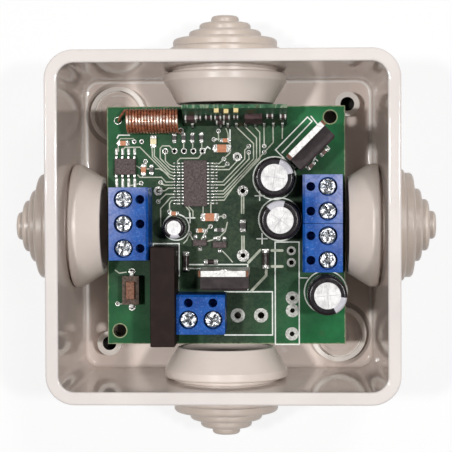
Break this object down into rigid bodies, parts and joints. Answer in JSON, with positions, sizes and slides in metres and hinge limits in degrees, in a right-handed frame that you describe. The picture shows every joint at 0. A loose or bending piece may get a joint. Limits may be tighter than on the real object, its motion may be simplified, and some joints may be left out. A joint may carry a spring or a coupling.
{
  "type": "gate receiver",
  "caption": "Open square junction box holding a radio receiver board with relay, screw terminals, coil antenna and push button, with a stepped cable grommet in each wall.",
  "frame": {"origin": "centre of the box's back face", "axes": "+Z out of the box's open side, +X right and +Y to the rear as the board is read"},
  "size_m": [0.087, 0.087, 0.038],
  "materials": {
    "box_plastic": "light warm grey, satin rim and glossy walls",
    "grommet_rubber": "light warm grey, satin",
    "board_green": "green solder mask over glass fibre",
    "terminal_blue": "blue, satin",
    "contact_metal": "plated",
    "screw_metal": "bright, plated",
    "cage_metal": "plated",
    "relay_plastic": "brown black, satin",
    "base_plastic": "black",
    "pin_metal": "bright, plated",
    "relay_iron": "bright, plated",
    "copper": "enamelled copper wire",
    "can_aluminium": "bright",
    "sleeve_plastic": "black, with a pale stripe",
    "bung_rubber": "black",
    "package_plastic": "black epoxy",
    "ceramic_brown": "brown",
    "ceramic_black": "black film on white ceramic",
    "solder": "bright, plated",
    "lamp_plastic": "cream",
    "diode_glass": "dark glass",
    "plunger_plastic": "brown"
  },
  "bodies": {
    "receiver_box": {"box_shell": "box_plastic", "circuit_board": "board_green", "terminal_contacts": "contact_metal", "relay_case": "relay_plastic", "relay_base": "base_plastic", "relay_pins": "pin_metal", "relay_yoke": "relay_iron", "relay_coil": "copper", "capacitor_cans": "can_aluminium", "capacitor_sleeves": "sleeve_plastic", "capacitor_bungs": "bung_rubber", "capacitor_leads": "pin_metal", "power_device_bodies": "package_plastic", "power_device_leadframes": "pin_metal", "controller_body": "package_plastic", "controller_leads": "pin_metal", "small_chip_bodies": "package_plastic", "small_chip_leads": "pin_metal", "receiver_board": "board_green", "receiver_parts": "package_plastic", "receiver_pins": "pin_metal", "antenna_coil": "copper", "button_housing": "base_plastic", "button_cover": "pin_metal", "button_dome": "pin_metal", "button_leads": "pin_metal", "chip_capacitor_bodies": "ceramic_brown", "chip_resistor_bodies": "ceramic_black", "lamp_body": "lamp_plastic", "chip_end_caps": "solder", "diode_bodies": "diode_glass", "diode_end_caps": "solder", "grommet_right": "grommet_rubber", "grommet_rear": "grommet_rubber", "grommet_left": "grommet_rubber", "grommet_front": "grommet_rubber", "terminal_housing_left": "terminal_blue", "terminal_housing_right_rear": "terminal_blue", "terminal_housing_right_front": "terminal_blue", "terminal_housing_front": "terminal_blue"},
    "screw_left_1": {"clamp_screw_left_1": "screw_metal"},
    "cage_left_1": {"clamp_cage_left_1": "cage_metal"},
    "screw_left_2": {"clamp_screw_left_2": "screw_metal"},
    "cage_left_2": {"clamp_cage_left_2": "cage_metal"},
    "screw_left_3": {"clamp_screw_left_3": "screw_metal"},
    "cage_left_3": {"clamp_cage_left_3": "cage_metal"},
    "screw_right_rear_1": {"clamp_screw_right_rear_1": "screw_metal"},
    "cage_right_rear_1": {"clamp_cage_right_rear_1": "cage_metal"},
    "screw_right_rear_2": {"clamp_screw_right_rear_2": "screw_metal"},
    "cage_right_rear_2": {"clamp_cage_right_rear_2": "cage_metal"},
    "screw_right_front_1": {"clamp_screw_right_front_1": "screw_metal"},
    "cage_right_front_1": {"clamp_cage_right_front_1": "cage_metal"},
    "screw_right_front_2": {"clamp_screw_right_front_2": "screw_metal"},
    "cage_right_front_2": {"clamp_cage_right_front_2": "cage_metal"},
    "screw_front_1": {"clamp_screw_front_1": "screw_metal"},
    "cage_front_1": {"clamp_cage_front_1": "cage_metal"},
    "screw_front_2": {"clamp_screw_front_2": "screw_metal"},
    "cage_front_2": {"clamp_cage_front_2": "cage_metal"},
    "button": {"button_plunger": "plunger_plastic"},
    "relay_rocker": {"relay_armature": "relay_iron"}
  },
  "joints": [
    {"name": "screw_left_1_turn", "type": "hinge", "parent": "receiver_box", "child": "screw_left_1", "pos_m": [-0.02065, 0.0055, 0.0245], "axis": [0, 0, 1], "range_deg": [-1450, 0]},
    {"name": "cage_left_1_rise", "type": "slide", "parent": "receiver_box", "child": "cage_left_1", "axis": [0, 0, 1], "range_m": [0, 0.002]},
    {"name": "screw_left_2_turn", "type": "hinge", "parent": "receiver_box", "child": "screw_left_2", "pos_m": [-0.02065, 0.0005, 0.0245], "axis": [0, 0, 1], "range_deg": [-1450, 0]},
    {"name": "cage_left_2_rise", "type": "slide", "parent": "receiver_box", "child": "cage_left_2", "axis": [0, 0, 1], "range_m": [0, 0.002]},
    {"name": "screw_left_3_turn", "type": "hinge", "parent": "receiver_box", "child": "screw_left_3", "pos_m": [-0.02065, -0.0045, 0.0245], "axis": [0, 0, 1], "range_deg": [-1450, 0]},
    {"name": "cage_left_3_rise", "type": "slide", "parent": "receiver_box", "child": "cage_left_3", "axis": [0, 0, 1], "range_m": [0, 0.002]},
    {"name": "screw_right_rear_1_turn", "type": "hinge", "parent": "receiver_box", "child": "screw_right_rear_1", "pos_m": [0.02105, 0.003, 0.0245], "axis": [0, 0, 1], "range_deg": [-1450, 0]},
    {"name": "cage_right_rear_1_rise", "type": "slide", "parent": "receiver_box", "child": "cage_right_rear_1", "axis": [0, 0, 1], "range_m": [0, 0.002]},
    {"name": "screw_right_rear_2_turn", "type": "hinge", "parent": "receiver_box", "child": "screw_right_rear_2", "pos_m": [0.02105, 0.008, 0.0245], "axis": [0, 0, 1], "range_deg": [-1450, 0]},
    {"name": "cage_right_rear_2_rise", "type": "slide", "parent": "receiver_box", "child": "cage_right_rear_2", "axis": [0, 0, 1], "range_m": [0, 0.002]},
    {"name": "screw_right_front_1_turn", "type": "hinge", "parent": "receiver_box", "child": "screw_right_front_1", "pos_m": [0.02105, -0.007, 0.0245], "axis": [0, 0, 1], "range_deg": [-1450, 0]},
    {"name": "cage_right_front_1_rise", "type": "slide", "parent": "receiver_box", "child": "cage_right_front_1", "axis": [0, 0, 1], "range_m": [0, 0.002]},
    {"name": "screw_right_front_2_turn", "type": "hinge", "parent": "receiver_box", "child": "screw_right_front_2", "pos_m": [0.02105, -0.002, 0.0245], "axis": [0, 0, 1], "range_deg": [-1450, 0]},
    {"name": "cage_right_front_2_rise", "type": "slide", "parent": "receiver_box", "child": "cage_right_front_2", "axis": [0, 0, 1], "range_m": [0, 0.002]},
    {"name": "screw_front_1_turn", "type": "hinge", "parent": "receiver_box", "child": "screw_front_1", "pos_m": [-0.0074, -0.0191, 0.0245], "axis": [0, 0, 1], "range_deg": [-1450, 0]},
    {"name": "cage_front_1_rise", "type": "slide", "parent": "receiver_box", "child": "cage_front_1", "axis": [0, 0, 1], "range_m": [0, 0.002]},
    {"name": "screw_front_2_turn", "type": "hinge", "parent": "receiver_box", "child": "screw_front_2", "pos_m": [-0.0024, -0.0191, 0.0245], "axis": [0, 0, 1], "range_deg": [-1450, 0]},
    {"name": "cage_front_2_rise", "type": "slide", "parent": "receiver_box", "child": "cage_front_2", "axis": [0, 0, 1], "range_m": [0, 0.002]},
    {"name": "button_press", "type": "slide", "parent": "receiver_box", "child": "button", "axis": [0, 0, -1], "range_m": [0, 0.00025], "stiffness_N_per_m": 2000, "springref_m": -0.0005, "deforming": ["button_dome"]},
    {"name": "relay_armature_rock", "type": "hinge", "parent": "receiver_box", "child": "relay_rocker", "pos_m": [-0.0125, -0.0059, 0.02655], "axis": [1, 0, 0], "range_deg": [0, 6], "stiffness_Nm_per_rad": 0.001, "springref_deg": -11.46}
  ],
  "couplings": [
    {"joint": "screw_left_1_turn", "follows": "cage_left_1_rise", "rad_per_m": -12566},
    {"joint": "screw_left_2_turn", "follows": "cage_left_2_rise", "rad_per_m": -12566},
    {"joint": "screw_left_3_turn", "follows": "cage_left_3_rise", "rad_per_m": -12566},
    {"joint": "screw_right_rear_1_turn", "follows": "cage_right_rear_1_rise", "rad_per_m": -12566},
    {"joint": "screw_right_rear_2_turn", "follows": "cage_right_rear_2_rise", "rad_per_m": -12566},
    {"joint": "screw_right_front_1_turn", "follows": "cage_right_front_1_rise", "rad_per_m": -12566},
    {"joint": "screw_right_front_2_turn", "follows": "cage_right_front_2_rise", "rad_per_m": -12566},
    {"joint": "screw_front_1_turn", "follows": "cage_front_1_rise", "rad_per_m": -12566},
    {"joint": "screw_front_2_turn", "follows": "cage_front_2_rise", "rad_per_m": -12566}
  ]
}
